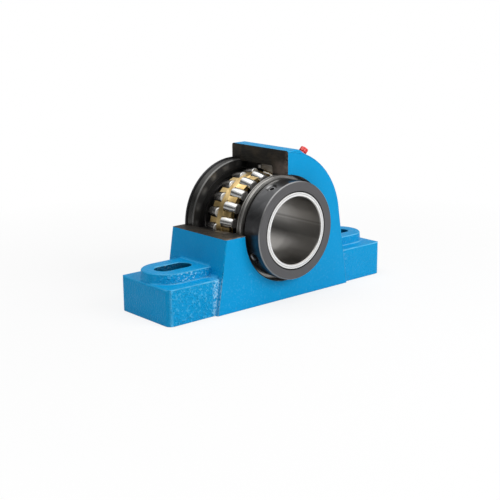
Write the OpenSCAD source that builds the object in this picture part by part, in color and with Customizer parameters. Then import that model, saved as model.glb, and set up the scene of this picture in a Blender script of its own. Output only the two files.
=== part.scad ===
// Two-bolt pillow block with a self-aligning double-row spherical roller
// bearing, shown as a cutaway: one upper quarter of the casting and of the
// outer ring is sawn away, so the rollers and their cage lie open.
// Frame: X along the base, Y along the shaft with the collar at -Y, Z up.
// The origin is on the base face, under the centre of the bearing.

/* [Base casting] */
// Length of the base, end to end
base_length = 384; // [372:1:400]
// Depth of each foot, front to back
foot_depth = 104; // [98:1:108]
// Height of each foot
foot_height = 47; // [42:1:52]
// Radius of the upright corners of the feet
foot_corner_radius = 8; // [4:0.5:12]
// Rounding along the top edges of the feet
foot_edge_radius = 3; // [1.5:0.5:4]
// Centre height of the shaft over the base face
shaft_height = 97; // [94:1:102]
// Length of the bearing block where it stands on the base face
block_length = 238; // [232:1:246]
// Depth of the bearing block, front to back
block_depth = 113; // [111:1:118]
// Radius of the arch over the bearing
arch_radius = 102; // [98:1:105]
// Rounding of the cast edges round the block's front and rear faces
block_edge_radius = 2.5; // [1:0.5:3.5]
// Half length of the flat on the crown pad
crown_half = 24; // [20:0.5:28]
// Cast fillet where the block rises from the feet
root_fillet = 7; // [4:0.5:9]
// Cast fillet in the step between a foot's face and the block's flank
step_fillet = 2; // [1:0.25:2.5]

/* [Bolt slots] */
// Distance between the centres of the two bolt slots
bolt_spacing = 292; // [288:1:296]
// Width of a bolt slot
slot_width = 26; // [22:0.5:28]
// Length of a bolt slot, end to end
slot_length = 54; // [46:1:58]
// Height of the bolt boss over the foot
boss_height = 13; // [10:0.5:15]
// Radius of the boss's round end at its top
boss_radius = 32.7; // [29:0.1:32.9]
// Widening of the boss from its top to its foot
boss_draft = 1.1; // [1:0.1:2]
// Distance from the slot's centre to the centre of the boss's round end
boss_offset = 10; // [6:0.5:11]
// Rounding round the top of the boss
boss_edge_radius = 2; // [1:0.5:3]
// Chamfer at both ends of a slot
slot_chamfer = 1; // [0.5:0.25:1.5]

/* [Bearing] */
// Outside diameter of the bearing
bearing_diameter = 160; // [158:0.5:162]
// Width of the outer ring
bearing_width = 52.4; // [51:0.2:54]
// Bore of the inner ring, which is the shaft's diameter
bore_diameter = 90; // [86:1:92]
// Thickness of the outer ring over the middle of its raceway
outer_ring_wall = 6.5; // [6:0.25:7.5]
// Largest diameter of the barrel rollers
roller_diameter = 14.6; // [13.6:0.2:15]
// Length of a roller
roller_length = 20.5; // [19.5:0.25:21]
// Number of rollers in each of the two rows
rollers_per_row = 20; // [16:1:20]
// Angle between a roller's line of contact and the bearing's middle plane
contact_angle = 12.5; // [11.5:0.25:13.5]
// Place of the front row's first roller, measured up from the left horizontal
front_row_phase = 9.5; // [0:0.5:18]
// Angle by which the rear row is staggered from the front row
row_stagger = 9; // [8:0.5:10]
// Chamfer at the ends of a roller
roller_chamfer = 0.8; // [0.4:0.1:1.2]
// Width of the grease groove round the outer ring
groove_width = 9; // [6:0.5:11]
// Depth of the grease groove
groove_depth = 1.4; // [0.8:0.1:2]
// Diameter of the grease holes in the groove
grease_hole_diameter = 5; // [3:0.5:6]
// Number of grease holes round the outer ring
grease_holes = 3; // [3:1:6]
// Place of the first grease hole, measured up from the left horizontal
grease_hole_phase = 92.5; // [91:0.5:95]

/* [Cage and guide ring] */
// Height of the cage's middle band over the circle of roller centres
band_rise = 4.9; // [4.2:0.1:5.4]
// Height of the prongs over the circle of roller centres
prong_rise = 4; // [3.2:0.1:4.4]
// Depth of the prongs below the circle of roller centres
prong_drop = 3.4; // [2.8:0.1:3.6]
// How far the prongs run past the middle of the rollers
prong_reach = 5.5; // [4:0.25:6.5]
// Drop of the prongs' outer face towards their tips
prong_taper = 1; // [0.5:0.1:1.4]
// Radial thickness of the loose guide ring between the rows
guide_ring_thickness = 4.2; // [3.4:0.1:4.6]

/* [Inner ring and locking collar] */
// Reach of the inner ring to the front of the bearing's middle plane
inner_ring_front = 76; // [74:0.5:79]
// Reach of the inner ring to the rear of the bearing's middle plane
inner_ring_rear = 58; // [57:0.5:62]
// Outside diameter of the inner ring's plain ends
ring_end_diameter = 103.6; // [102.4:0.2:105]
// Height of the flanges that hold the rollers, over the plain ends
flange_height = 7.2; // [6:0.1:7.6]
// Chamfer at both ends of the shaft bore
bore_chamfer = 1; // [0.5:0.25:1.5]
// Wall of the locking collar, over the inner ring's plain end
collar_wall = 13.7; // [12.2:0.1:15.2]
// Width of the locking collar
collar_width = 29.5; // [26:0.5:29.5]
// Chamfer round the collar's two faces
collar_chamfer = 1.2; // [0.5:0.1:2]

/* [Set screws] */
// Thread diameter of the collar's set screws
set_screw_diameter = 12; // [10:0.5:14]
// Length of a set screw
set_screw_length = 18; // [16:0.5:19]
// Distance of the set screws behind the collar's front face
set_screw_setback = 16.5; // [13:0.5:17]
// Place of the upper set screw, measured up from the left horizontal
upper_screw_phase = 64; // [55:1:75]
// Angle between the two set screws
screw_spacing = 91; // [70:1:130]
// Width across the flats of the hexagon socket
socket_width = 6; // [5:0.5:7]
// Depth of the hexagon socket
socket_depth = 7; // [4:0.5:8]

/* [Seals and rear cover] */
// Opening through the front wall of the casting
front_opening_diameter = 140; // [139:0.5:142]
// Distance of the front seal's case behind the bearing's middle plane
front_seal_start = 34; // [32:0.5:35]
// Width of the front seal's case
front_seal_width = 10.8; // [10:0.2:11]
// Wall of the seal cases
seal_wall = 2; // [1.5:0.25:2.5]
// Height of the rubber lips, from the case down to the inner ring
lip_height = 5.2; // [4.5:0.1:6]
// Diameter of the seat of the rear cover in the casting
cover_diameter = 164; // [163:0.5:166]
// Distance from the bearing's middle plane to the cover's inner face
cover_start = 39.5; // [38:0.5:41]
// Thickness of the cover's seated rim
cover_rim = 12; // [10:0.5:12.5]
// Depth of the step inside the cover's inner face
cover_step_depth = 4; // [3:0.5:5]
// Diameter of the step inside the cover's inner face
cover_step_diameter = 140; // [136:1:144]
// Diameter of the boss on the cover's outer side
cover_boss_diameter = 146; // [140:1:150]
// Diameter of the seal's seat in the cover
cover_seal_diameter = 124; // [122:0.5:128]
// Axial width of the rear seal
rear_seal_width = 7; // [6:0.5:8]
// Thickness of the retaining ring behind the cover
circlip_thickness = 2.5; // [2:0.25:3]
// Radial height of the retaining ring
circlip_height = 6; // [5:0.5:7]
// Depth of the retaining ring's groove in the casting
circlip_groove = 1.6; // [1.2:0.1:2]
// Angle of the gap in the retaining ring
circlip_gap = 16; // [12:1:22]

/* [Grease fitting] */
// Lean of the grease fitting from upright, to the right
fitting_angle = 44; // [35:1:50]
// Diameter of the fitting's threaded shank
shank_diameter = 9.8; // [8:0.2:10]
// Length of the threaded shank
shank_length = 10; // [8:0.5:11]
// Width across the flats of the fitting's hexagon
hexagon_width = 11; // [10.8:0.1:12]
// Height of the hexagon
hexagon_height = 8.5; // [6:0.5:10]
// Diameter of the nipple's head
nipple_diameter = 6.4; // [6:0.1:6.8]
// Height of the nipple over the hexagon
nipple_height = 10.5; // [9:0.5:12]
// Diameter of the check ball
ball_diameter = 2.4; // [2:0.1:2.6]
// Outside diameter of the protective cap
cap_diameter = 11.6; // [10.6:0.2:12.4]
// Height of the protective cap
cap_height = 17; // [14:0.5:18]
// Diameter of the spot face under the fitting
spot_face_diameter = 17; // [15:0.5:19]

/* [Cutaway] */
// Distance of the upright saw cut to the right of the shaft's axis
cut_offset = 3.5; // [1:0.5:6]

/* [Fits] */
// Radial gap of parts pressed or screwed into their seats
seat_gap = 0.02; // [0.01:0.01:0.04]
// Gap between the rollers and both raceways
race_gap = 0.1; // [0.08:0.01:0.14]
// Gap between a roller and its cage pocket
pocket_gap = 0.3; // [0.2:0.05:0.4]
// Gap at the ends of the rollers
end_gap = 0.2; // [0.15:0.05:0.3]
// Radial float of the guide ring on the inner ring and under the cage
guide_gap = 0.3; // [0.2:0.05:0.4]
// Gap between a seal lip and the inner ring, so that the ring can tilt
lip_gap = 1.1; // [1:0.05:1.3]
// Gap between the set screws and their threads
thread_gap = 0.06; // [0.04:0.01:0.1]

/* [Hidden] */
$fn = 96;
ROW_NUMBERS = [for (i = [1:rollers_per_row]) str(i < 10 ? "0" : "", i)];

// Length by which a cutting shape runs past the faces that it cuts
past = 1;

// Half sizes of the casting
block_half = block_length / 2;
block_face = block_depth / 2;
foot_face = foot_depth / 2;

// The flanks rise from the block's length and run almost tangent into the
// arch, which stands out from them by this little, and from their faces by
// this little in depth
arch_rise = 0.1;
face_rise = 0.03;
flank_distance = arch_radius - arch_rise;
flank_angle = acos(flank_distance / norm([block_half, shaft_height])) - atan2(shaft_height, block_half);
flank_run = sqrt(pow(block_half, 2) + pow(shaft_height, 2) - pow(flank_distance, 2));
// Fillets sink this little into the faces that they join
fillet_sink = 0.05;

// The crown pad stands over the arch, is set back a little from the block's
// faces, and its leaning ends run down into the arch
crown_top = arch_radius + 0.5;
crown_setback = 0.3;
crown_end_run = 16;
crown_end_drop = 10.4;

// Bolt bosses and slots
slot_x = bolt_spacing / 2;
slot_end_radius = slot_width / 2;
slot_half_run = (slot_length - slot_width) / 2;
boss_top = foot_height + boss_height;
boss_end_x = slot_x + boss_offset;
boss_root_fillet = 3;
boss_flank_fillet = 4;
boss_lean = atan(boss_draft / boss_height);

// Bearing: the rollers lie on a sphere about the bearing's centre
bearing_radius = bearing_diameter / 2;
half_width = bearing_width / 2;
bore_radius = bore_diameter / 2;
raceway_radius = bearing_radius - outer_ring_wall;
roller_radius = roller_diameter / 2;
roller_distance = raceway_radius - roller_radius - race_gap;
pitch_radius = roller_distance * cos(contact_angle);
row_offset = roller_distance * sin(contact_angle);
roller_pitch = 360 / rollers_per_row;
// Long radius of the barrel profile, a little under the raceway's
barrel_profile = raceway_radius * 0.98;
// Long radius of the inner ring's grooves, a little over the raceway's
groove_profile = raceway_radius * 1.02;
groove_distance = roller_distance - roller_radius - race_gap + groove_profile;
// Ring ends are broken with small chamfers
ring_chamfer = 1.5;

// Axial place, at one radius, of a plane square to the rear rollers' axes
// that lies the given distance outward from their middle
function plane_axial(radius, distance) =
    row_offset + distance / cos(contact_angle) + (radius - pitch_radius) * tan(contact_angle);

half_roller = roller_length / 2;
// Radius of a roller's end face, and the lowest point of its inner end
roller_end_radius = roller_radius - barrel_profile + sqrt(pow(barrel_profile, 2) - pow(half_roller, 2));
land_radius = pitch_radius + half_roller * sin(contact_angle)
    - (roller_end_radius - roller_chamfer / 2) * cos(contact_angle);

// Guide ring, between the rows and under the cage
guide_inner = land_radius + guide_gap;
guide_outer = guide_inner + guide_ring_thickness;

// Cage
band_radius = pitch_radius + band_rise;
prong_radius = pitch_radius + prong_rise;
prong_inner = pitch_radius - prong_drop;
prong_end = row_offset + prong_reach;
web_inner = guide_outer + guide_gap;
pocket_radius = roller_radius + pocket_gap;
// How far the pockets bite into the edges of the cage's middle band
band_overlap = 0.7;

// Inner ring and collar
ring_end_radius = ring_end_diameter / 2;
flange_radius = ring_end_radius + flange_height;
collar_radius = ring_end_radius + collar_wall;
collar_front = -inner_ring_front;
collar_rear = collar_front + collar_width;
screw_axial = collar_front + set_screw_setback;
screw_phases = [upper_screw_phase, upper_screw_phase - screw_spacing];
set_screw_radius = set_screw_diameter / 2;
// The screws' tips stop just short of the shaft bore
screw_tip = bore_radius + 0.3;
screw_chamfer = 1;

// Front seal
front_opening_radius = front_opening_diameter / 2;
seal_case_radius = front_opening_radius - seat_gap;
seal_rear = -front_seal_start;
seal_front = seal_rear - front_seal_width;
lip_radius = ring_end_radius + lip_gap;
lip_root_radius = lip_radius + lip_height;
lip_wall = 0.8;
lip_lean = 2.4;
// How far the rubber is bonded to the inner side of its case's web
lip_bond = 1.5;
spigot_step = 3;
spigot_length = 4;
bead_groove_depth = 1.6;

// Rear cover and its retaining ring
cover_seat_radius = cover_diameter / 2;
cover_radius = cover_seat_radius - seat_gap;
cover_end = cover_start + cover_rim;
cover_boss_radius = cover_boss_diameter / 2;
cover_seal_radius = cover_seal_diameter / 2;
cover_step_radius = cover_step_diameter / 2;
cover_web_end = cover_start + cover_step_depth + 3;
rear_case_bore = cover_seal_radius - seat_gap - seal_wall;
rear_lip_root = rear_case_bore - lip_bond - 0.4;
circlip_rear = cover_end + circlip_thickness;
circlip_outer = cover_seat_radius + circlip_groove - seat_gap * 5;
circlip_inner = circlip_outer - circlip_height;
circlip_eye_radius = circlip_height * 0.6;
circlip_eye_place = circlip_outer - circlip_eye_radius - 0.2;
circlip_hole_radius = circlip_height / 4;

// Grease fitting, measured out from the shaft's axis
spot_face = arch_radius - 0.6;
shank_radius = shank_diameter / 2;
hexagon_top = spot_face + hexagon_height;
nipple_radius = nipple_diameter / 2;
nipple_top = hexagon_top + nipple_height;
nipple_neck = nipple_radius * 0.72;
cap_radius = cap_diameter / 2;
cap_start = hexagon_top + 0.3;
cap_bore = nipple_radius + 0.2;
// The cap's head is wider than its skirt, with a round edge
cap_head = 6;
cap_flare = 1.1;
cap_edge = 0.8;
ball_radius = ball_diameter / 2;
grease_way_radius = 2;
// The ball closes the nipple's mouth from inside, against a cone-shaped seat
mouth_radius = ball_radius * 0.66;
mouth_depth = 1.2;
valve_bore = ball_radius + 0.3;
seat_start = nipple_top - mouth_depth - ball_radius;
seat_lean = atan((valve_bore - mouth_radius) / ball_radius);
ball_place = seat_start + (valve_bore - (ball_radius + seat_gap) / cos(seat_lean)) / tan(seat_lean);

// Puts a shape that is drawn about Z onto the shaft's axis, with Z to the rear
module on_shaft() {
    translate([0, 0, shaft_height]) rotate([-90, 0, 0]) children();
}

// Turns a shape about the shaft, measured up from the left horizontal
module at_phase(angle) {
    rotate([0, 0, 180 + angle]) children();
}

// Puts a shape that is drawn along Z onto the grease fitting's axis
module on_fitting() {
    translate([0, 0, shaft_height]) rotate([0, fitting_angle, 0]) children();
}

// The sawn-out quarter, over the shaft and to the left of the cut
module sawn_quarter() {
    translate([cut_offset - base_length, -block_depth, shaft_height])
        cube([base_length, 2 * block_depth, 2 * arch_radius]);
}

// A rectangle with all four corners round, centred on the origin
module round_rectangle(length, width, radius) {
    square([length - 2 * radius, width], center = true);
    square([length, width - 2 * radius], center = true);
    for (x = [-1, 1], y = [-1, 1])
        translate([x * (length / 2 - radius), y * (width / 2 - radius)]) circle(r = radius);
}

// A wall's outline with two round top corners, standing on its lower edge
module round_topped(length, height, radius) {
    translate([-length / 2, 0]) square([length, height - radius]);
    translate([radius - length / 2, 0]) square([length - 2 * radius, height]);
    for (x = [-1, 1])
        translate([x * (length / 2 - radius), height - radius]) circle(r = radius);
}

// What a fillet of the given radius adds in a corner between the X axis and
// a wall that leans away from it by the given angle; it runs into both sides
module corner_fillet(radius, lean) {
    height = radius - fillet_sink;
    reach = height * tan((90 - lean) / 2);
    difference() {
        polygon([
            [-past, -past],
            [reach, -past],
            [reach, height],
            [-reach * sin(lean) - past * cos(lean), reach * cos(lean) - past * sin(lean)]
        ]);
        translate([reach, height]) circle(r = radius);
    }
}

// Both feet as one bar under the block
module feet() {
    intersection() {
        linear_extrude(foot_height) round_rectangle(base_length, foot_depth, foot_corner_radius);
        rotate([90, 0, 0]) linear_extrude(2 * foot_depth, center = true)
            round_topped(base_length, foot_height, foot_edge_radius);
        rotate([90, 0, 90]) linear_extrude(2 * base_length, center = true)
            round_topped(foot_depth, foot_height, foot_edge_radius);
    }
}

// The block's right side: a thick slab with round edges that leans with the
// flank and ends square to it, inside the arch
module block_side() {
    intersection() {
        translate([block_half, 0, 0]) rotate([0, -flank_angle, 0]) translate([0, 0, -foot_height])
            linear_extrude(foot_height + flank_run)
                translate([-block_length, 0])
                    round_rectangle(2 * block_length, block_depth - 2 * face_rise, block_edge_radius);
        translate([-foot_height, -block_depth, 0]) cube([base_length, 2 * block_depth, 2 * shaft_height]);
    }
}

// Flat pad along the crown of the arch, with round front and rear edges
module crown_pad() {
    end_x = crown_half + crown_end_run;
    end_height = crown_top - crown_end_drop;
    over_x = crown_half - past * crown_end_run / crown_end_drop;
    translate([0, 0, shaft_height]) intersection() {
        rotate([90, 0, 90]) linear_extrude(base_length, center = true)
            round_rectangle(block_depth - 2 * crown_setback, 2 * crown_top, block_edge_radius);
        rotate([90, 0, 0]) linear_extrude(base_length, center = true) polygon([
            [-end_x, end_height],
            [-over_x, crown_top + past],
            [over_x, crown_top + past],
            [end_x, end_height]
        ]);
    }
}

// The block: both sides, and a round-edged drum that forms the arch
module block() {
    for (side = [0, 1]) mirror([side, 0, 0]) block_side();
    crown_pad();
    intersection() {
        on_shaft() rotate_extrude() intersection() {
            round_rectangle(2 * arch_radius, block_depth, block_edge_radius);
            translate([0, -block_depth]) square([2 * arch_radius, 2 * block_depth]);
        }
        translate([-base_length, -block_depth, 0])
            cube([2 * base_length, 2 * block_depth, 2 * (shaft_height + arch_radius)]);
    }
}

// A fillet along the foot of the right flank, at the given height
module flank_fillet(height, radius, length) {
    translate([block_half - height * tan(flank_angle), 0, height]) rotate([90, 0, 0])
        linear_extrude(length, center = true) corner_fillet(radius, flank_angle);
}

// Fillets of one side: foot and boss to flank, and in the steps at the faces
module root_fillets() {
    flank_fillet(foot_height, root_fillet, foot_depth - 2 * foot_edge_radius);
    flank_fillet(boss_top, boss_flank_fillet, 2 * (boss_radius - boss_edge_radius));
    for (side = [0, 1]) mirror([0, side, 0])
        intersection() {
            translate([block_half, foot_face, 0]) rotate([0, -flank_angle, 0])
                translate([0, 0, -foot_height]) linear_extrude(3 * foot_height)
                    corner_fillet(step_fillet, 0);
            cube([base_length, block_depth, foot_height - foot_edge_radius]);
        }
}

// Half section of a bolt boss, with the boss's middle at x = 0
module boss_section() {
    wall = function(z) boss_radius + (boss_top - z) * tan(boss_lean);
    shoulder = boss_top - boss_edge_radius;
    polygon([
        [0, foot_height - foot_edge_radius],
        [wall(foot_height), foot_height - foot_edge_radius],
        [wall(foot_height), foot_height],
        [wall(shoulder), shoulder],
        [wall(shoulder) - boss_edge_radius, boss_top],
        [0, boss_top]
    ]);
    translate([wall(shoulder) - boss_edge_radius, shoulder]) circle(r = boss_edge_radius);
}

// The right-hand boss: a round end, and straight sides that run into the block
module boss() {
    run = boss_end_x - block_half + foot_height;
    translate([boss_end_x, 0, 0]) rotate_extrude() boss_section();
    translate([boss_end_x, 0, 0]) rotate([90, 0, -90]) linear_extrude(run)
        for (side = [0, 1]) mirror([side, 0, 0]) boss_section();
}

// The fillet round the foot of the right-hand boss, on the foot's flat top
module boss_fillet() {
    run = boss_end_x - block_half + foot_height;
    intersection() {
        translate([boss_end_x, 0, 0]) {
            rotate_extrude()
                translate([boss_radius + boss_draft, foot_height]) corner_fillet(boss_root_fillet, boss_lean);
            rotate([90, 0, -90]) linear_extrude(run)
                for (side = [0, 1]) mirror([side, 0, 0])
                    translate([boss_radius + boss_draft, foot_height])
                        corner_fillet(boss_root_fillet, boss_lean);
        }
        translate([0, -foot_depth, 0])
            cube([base_length / 2 - foot_edge_radius, 2 * foot_depth, 2 * foot_height]);
    }
}

module slot_outline() {
    square([2 * slot_half_run, slot_width], center = true);
    for (x = [-1, 1]) translate([x * slot_half_run, 0]) circle(r = slot_end_radius);
}

// The right-hand slot, with a chamfer round its mouth on the boss
module slot() {
    translate([slot_x, 0, -past]) linear_extrude(boss_top + 2 * past) slot_outline();
    rim = slot_end_radius + slot_chamfer + past;
    low = slot_end_radius - past;
    depth = slot_chamfer + past;
    for (x = [-1, 1])
        translate([slot_x + x * slot_half_run, 0, boss_top - depth])
            cylinder(r1 = low, r2 = rim, h = depth + past);
    translate([slot_x, 0, boss_top - depth]) rotate([90, 0, 90])
        linear_extrude(2 * slot_half_run, center = true)
            polygon([[-low, 0], [low, 0], [rim, depth + past], [-rim, depth + past]]);
}

// The bores of the casting: the bearing's seat with its front shoulder, the
// front opening, the rear cover's seat and the retaining ring's groove
module housing_bores() {
    mouth = block_face + past;
    on_shaft() rotate_extrude() {
        polygon([
            [0, -mouth],
            [front_opening_radius + ring_chamfer + past, -mouth],
            [front_opening_radius, -block_face + ring_chamfer],
            [front_opening_radius, -half_width],
            [bearing_radius + seat_gap, -half_width],
            [bearing_radius + seat_gap, cover_start],
            [cover_seat_radius, cover_start],
            [cover_seat_radius, cover_end],
            [cover_seat_radius + circlip_groove, cover_end],
            [cover_seat_radius + circlip_groove, circlip_rear],
            [cover_seat_radius, circlip_rear],
            [cover_seat_radius, block_face - 1],
            [cover_seat_radius + 1 + past, mouth],
            [0, mouth]
        ]);
    }
}

// Grease way from the spot face on the arch to the bearing's groove
module grease_way() {
    on_fitting() {
        translate([0, 0, spot_face]) cylinder(d = spot_face_diameter, h = spot_face_diameter);
        translate([0, 0, spot_face - shank_length - past])
            cylinder(r = shank_radius + seat_gap, h = shank_length + 2 * past);
        translate([0, 0, bearing_radius - past])
            cylinder(r = grease_way_radius, h = arch_radius - bearing_radius);
    }
}

module housing() color([0.03, 0.6, 0.86]) {
    difference() {
        union() {
            feet();
            block();
            for (side = [0, 1]) mirror([side, 0, 0]) {
                root_fillets();
                boss();
                boss_fillet();
            }
        }
        for (side = [0, 1]) mirror([side, 0, 0]) slot();
        housing_bores();
        grease_way();
        sawn_quarter();
    }
}

// Outer ring, with a ball-shaped raceway, a grease groove and grease holes
module outer_ring() color([0.5, 0.49, 0.48]) {
    difference() {
        on_shaft() difference() {
            rotate_extrude() polygon([
                [roller_distance, -half_width],
                [bearing_radius - ring_chamfer, -half_width],
                [bearing_radius, -half_width + ring_chamfer],
                [bearing_radius, -groove_width / 2],
                [bearing_radius - groove_depth, -groove_width / 2 + groove_depth],
                [bearing_radius - groove_depth, groove_width / 2 - groove_depth],
                [bearing_radius, groove_width / 2],
                [bearing_radius, half_width - ring_chamfer],
                [bearing_radius - ring_chamfer, half_width],
                [roller_distance, half_width]
            ]);
            sphere(r = raceway_radius, $fn = 192);
            for (i = [0:grease_holes - 1])
                at_phase(grease_hole_phase + i * 360 / grease_holes)
                    rotate([0, 90, 0]) cylinder(d = grease_hole_diameter, h = bearing_diameter);
        }
        sawn_quarter();
    }
}

// Half section of the inner ring on one side of the middle plane, with the
// groove of its row and the flange at the rollers' outer ends
module inner_ring_row_section() {
    flange_face = half_roller + 3 * end_gap;
    groove_low = pitch_radius - roller_radius - half_roller * sin(contact_angle);
    difference() {
        translate([bore_radius, 0]) square([land_radius - bore_radius, half_width]);
        translate([groove_distance * cos(contact_angle), groove_distance * sin(contact_angle)])
            circle(r = groove_profile, $fn = 360);
    }
    polygon([
        [bore_radius, plane_axial(groove_low, flange_face)],
        [groove_low, plane_axial(groove_low, flange_face)],
        [flange_radius, plane_axial(flange_radius, flange_face)],
        [flange_radius, half_width],
        [ring_end_radius, half_width + (flange_radius - ring_end_radius) / 2],
        [bore_radius, half_width + (flange_radius - ring_end_radius) / 2]
    ]);
}

// Inner ring in one piece with its plain ends, which carry collar and seals
module inner_ring() color([0.78, 0.78, 0.77]) {
    on_shaft() difference() {
        rotate_extrude() {
            inner_ring_row_section();
            mirror([0, 1]) inner_ring_row_section();
            polygon([
                [bore_radius, -inner_ring_front + bore_chamfer],
                [bore_radius + bore_chamfer, -inner_ring_front],
                [ring_end_radius - bore_chamfer, -inner_ring_front],
                [ring_end_radius, -inner_ring_front + bore_chamfer],
                [ring_end_radius, inner_ring_rear - bore_chamfer],
                [ring_end_radius - bore_chamfer, inner_ring_rear],
                [bore_radius + bore_chamfer, inner_ring_rear],
                [bore_radius, inner_ring_rear - bore_chamfer]
            ]);
        }
        screw_holes(set_screw_radius + 5 * thread_gap, bore_radius - past);
    }
}

// Radial holes for the set screws, from the given radius outward
module screw_holes(radius, start) {
    for (phase = screw_phases)
        at_phase(phase) translate([start, 0, screw_axial]) rotate([0, 90, 0])
            cylinder(r = radius, h = 2 * collar_radius);
}

// Barrel roller about the Z axis
module roller_body() {
    rotate_extrude() intersection() {
        translate([roller_radius - barrel_profile, 0]) circle(r = barrel_profile, $fn = 360);
        polygon([
            [0, -half_roller],
            [roller_end_radius - roller_chamfer, -half_roller],
            [roller_end_radius + roller_chamfer, -half_roller + 2 * roller_chamfer],
            [roller_end_radius + roller_chamfer, half_roller - 2 * roller_chamfer],
            [roller_end_radius - roller_chamfer, half_roller],
            [0, half_roller]
        ]);
    }
}

// Puts a shape that is drawn about Z onto the axis of one roller; the row is
// -1 for the front and 1 for the rear
module on_roller(row, index) {
    phase = front_row_phase + (row > 0 ? row_stagger : 0) + index * roller_pitch;
    at_phase(phase) translate([pitch_radius, 0, row * row_offset])
        rotate([0, -row * contact_angle, 0]) children();
}

module roller(row, index) color([0.86, 0.86, 0.86]) {
    on_shaft() on_roller(row, index) roller_body();
}

// One-piece machined brass cage: a middle web with prongs both ways, left
// between drilled pockets that follow the rollers' slanted axes
module cage() color([0.85, 0.68, 0.3]) {
    on_shaft() difference() {
        rotate_extrude() polygon(concat(cage_outline(1), cage_outline(-1)));
        for (row = [-1, 1], i = [0:rollers_per_row - 1])
            on_roller(row, i) rotate([0, row > 0 ? 0 : 180, 0])
                translate([0, 0, -half_roller - end_gap]) cylinder(r = pocket_radius, h = 2 * roller_length);
    }
}

// Half of the cage's section on one side; the second side runs back
function cage_outline(side) =
    let (
        band_end = plane_axial(band_radius, -half_roller - end_gap) + band_overlap,
        web_end = plane_axial(web_inner, -half_roller + end_gap),
        root_end = plane_axial(prong_inner, -half_roller + end_gap),
        points = [
            [web_inner, side * web_end],
            [prong_inner, side * root_end],
            [prong_inner, side * prong_end],
            [prong_radius - prong_taper, side * prong_end],
            [prong_radius, side * (band_end + 1)],
            [band_radius, side * band_end]
        ]
    )
    side > 0 ? points : [for (i = [len(points) - 1:-1:0]) points[i]];

// Loose ring between the rows that guides the rollers' inner ends
module guide_ring() color([0.62, 0.62, 0.62]) {
    low = plane_axial(guide_inner, -half_roller - end_gap);
    high = plane_axial(guide_outer, -half_roller - end_gap);
    on_shaft() rotate_extrude()
        polygon([[guide_inner, -low], [guide_outer, -high], [guide_outer, high], [guide_inner, low]]);
}

// Concentric collar, with two tapped and chamfered holes
module lock_collar() color([0.13, 0.13, 0.14]) {
    on_shaft() difference() {
        rotate_extrude() polygon([
            [ring_end_radius + seat_gap, collar_front],
            [collar_radius - collar_chamfer, collar_front],
            [collar_radius, collar_front + collar_chamfer],
            [collar_radius, collar_rear - collar_chamfer],
            [collar_radius - collar_chamfer, collar_rear],
            [ring_end_radius + seat_gap, collar_rear]
        ]);
        screw_holes(set_screw_radius + thread_gap, ring_end_radius - past);
        for (phase = screw_phases)
            at_phase(phase) translate([collar_radius - 1.8, 0, screw_axial]) rotate([0, 90, 0])
                cylinder(r1 = set_screw_radius, r2 = set_screw_radius + 3, h = 3);
    }
}

// Socket set screw with a cup point, at the given place round the collar
module set_screw(phase) color([0.2, 0.2, 0.21]) {
    on_shaft() at_phase(phase) translate([screw_tip, 0, screw_axial]) rotate([0, 90, 0]) difference() {
        rotate_extrude() polygon([
            [0, screw_chamfer],
            [set_screw_radius / 2, 0],
            [set_screw_radius - 2 * screw_chamfer, 0],
            [set_screw_radius, 2 * screw_chamfer],
            [set_screw_radius, set_screw_length - screw_chamfer],
            [set_screw_radius - screw_chamfer, set_screw_length],
            [0, set_screw_length]
        ]);
        translate([0, 0, set_screw_length - socket_depth])
            cylinder(d = socket_width / cos(30), h = socket_depth + past, $fn = 6);
    }
}

// Steel case of the front seal: a web and a rim with a rolled bead
module front_seal_case() color([0.6, 0.6, 0.59]) {
    rim_start = seal_rear - spigot_length;
    bead = rim_start - 1.8;
    on_shaft() rotate_extrude() polygon([
        [lip_root_radius, seal_front],
        [seal_case_radius - 0.6, seal_front],
        [seal_case_radius, seal_front + 0.6],
        [seal_case_radius, bead - 1.4],
        [seal_case_radius - bead_groove_depth, bead - 1],
        [seal_case_radius - bead_groove_depth, bead],
        [seal_case_radius, bead + 0.4],
        [seal_case_radius, rim_start],
        [seal_case_radius - spigot_step, rim_start],
        [seal_case_radius - spigot_step, seal_rear],
        [seal_case_radius - spigot_step - seal_wall, seal_rear],
        [seal_case_radius - spigot_step - seal_wall, seal_front + seal_wall],
        [lip_root_radius, seal_front + seal_wall]
    ]);
}

// Section of a rubber lip that hangs from a case's web and leans inward. The
// web ends at the root radius and its outer face lies at the axial value.
module lip_section(root, web_face, inward) {
    at = function(depth) web_face + inward * depth;
    back = seal_wall + lip_wall;
    polygon([
        [root, at(lip_wall / 4)],
        [root, at(seal_wall)],
        [root + lip_bond, at(seal_wall)],
        [root + lip_bond, at(back)],
        [root - lip_wall, at(back)],
        [lip_radius + 2 * lip_wall, at(back + lip_lean)],
        [lip_radius, at(back + lip_lean - lip_wall)],
        [lip_radius + lip_wall, at(seal_wall)],
        [lip_radius + lip_wall / 4, at(lip_wall)]
    ]);
}

module front_seal_lip() color([0.1, 0.1, 0.1]) {
    on_shaft() rotate_extrude() lip_section(lip_root_radius, seal_front, 1);
}

// Turned rear cover, seated on the casting's step
module rear_cover() color([0.09, 0.09, 0.1]) {
    nose = block_face - 0.5;
    on_shaft() rotate_extrude() polygon([
        [cover_step_radius, cover_start],
        [cover_radius - ring_chamfer, cover_start],
        [cover_radius, cover_start + ring_chamfer],
        [cover_radius, cover_end],
        [cover_boss_radius, cover_end],
        [cover_boss_radius, nose - 1],
        [cover_boss_radius - 1, nose],
        [cover_seal_radius + 1, nose],
        [cover_seal_radius, nose - 1],
        [cover_seal_radius, cover_web_end],
        [cover_seal_radius - seal_wall, cover_web_end],
        [cover_seal_radius - seal_wall, cover_start + cover_step_depth],
        [cover_step_radius - 3, cover_start + cover_step_depth],
        [cover_step_radius - 3, cover_start + 1],
        [cover_step_radius - 1.5, cover_start + 1]
    ]);
}

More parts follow.
